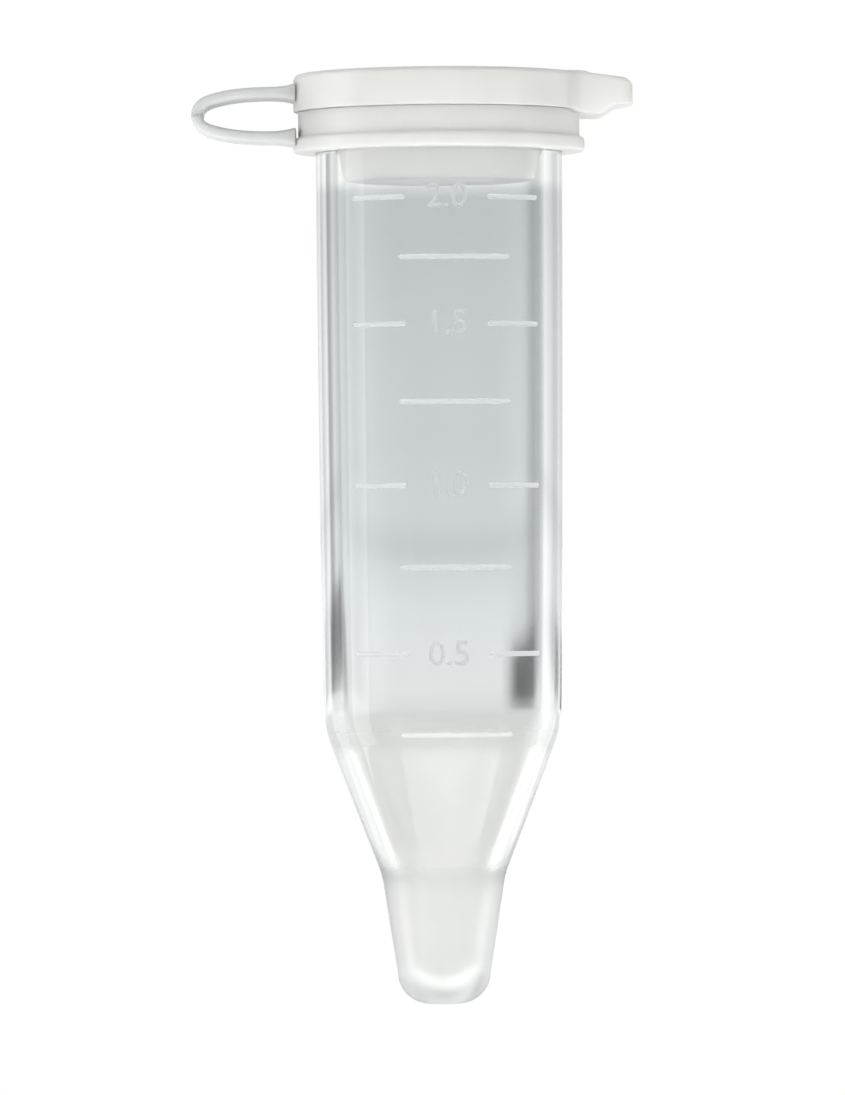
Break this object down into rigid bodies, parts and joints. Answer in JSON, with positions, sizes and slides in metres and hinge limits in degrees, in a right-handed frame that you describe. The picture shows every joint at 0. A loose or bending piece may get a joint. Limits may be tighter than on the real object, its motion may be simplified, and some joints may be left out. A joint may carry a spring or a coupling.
{
  "type": "microcentrifuge tube",
  "caption": "Clear conical sample tube with a rounded tip and raised graduation marks, closed by a milky snap lid with a hollow sealing plug, a thumb tab and a folded strap hinge.",
  "frame": {"origin": "middle of the small flat at the tube's tip, on the tube's axis", "axes": "+Z along the tube's axis towards the lid, +X from the strap to the thumb tab, and the graduation marks face -Y"},
  "size_m": [0.0196, 0.0128, 0.041],
  "materials": {
    "clear_wall": "glossy, water-clear with a cool grey tint",
    "milky_plastic": "satin, translucent natural polypropylene",
    "raised_mark": "slightly frosted relief on the wall"
  },
  "bodies": {
    "tube": {"tube_body": "clear_wall", "collar": "milky_plastic", "strap_lower_band": "milky_plastic", "mark_0250_ul": "raised_mark", "mark_0500_ul_left": "raised_mark", "mark_0500_ul_right": "raised_mark", "mark_0750_ul": "raised_mark", "mark_1000_ul_left": "raised_mark", "mark_1000_ul_right": "raised_mark", "mark_1250_ul": "raised_mark", "mark_1500_ul_left": "raised_mark", "mark_1500_ul_right": "raised_mark", "mark_1750_ul": "raised_mark", "mark_2000_ul_left": "raised_mark", "mark_2000_ul_right": "raised_mark"},
    "strap_turn": {"strap_fold": "milky_plastic"},
    "lid": {"strap_upper_band": "milky_plastic", "lid_disc": "milky_plastic", "sealing_plug": "milky_plastic", "thumb_tab": "milky_plastic"}
  },
  "joints": [
    {"name": "strap_lower_crease", "type": "hinge", "parent": "tube", "child": "strap_turn", "pos_m": [-0.01064, 0, 0.03852], "axis": [0, -1, 0], "range_deg": [0, 90]},
    {"name": "strap_upper_crease", "type": "hinge", "parent": "strap_turn", "child": "lid", "pos_m": [-0.01064, 0, 0.03979], "axis": [0, -1, 0], "range_deg": [0, 90]}
  ],
  "couplings": [
    {"joint": "strap_upper_crease", "follows": "strap_lower_crease", "ratio": 1}
  ]
}
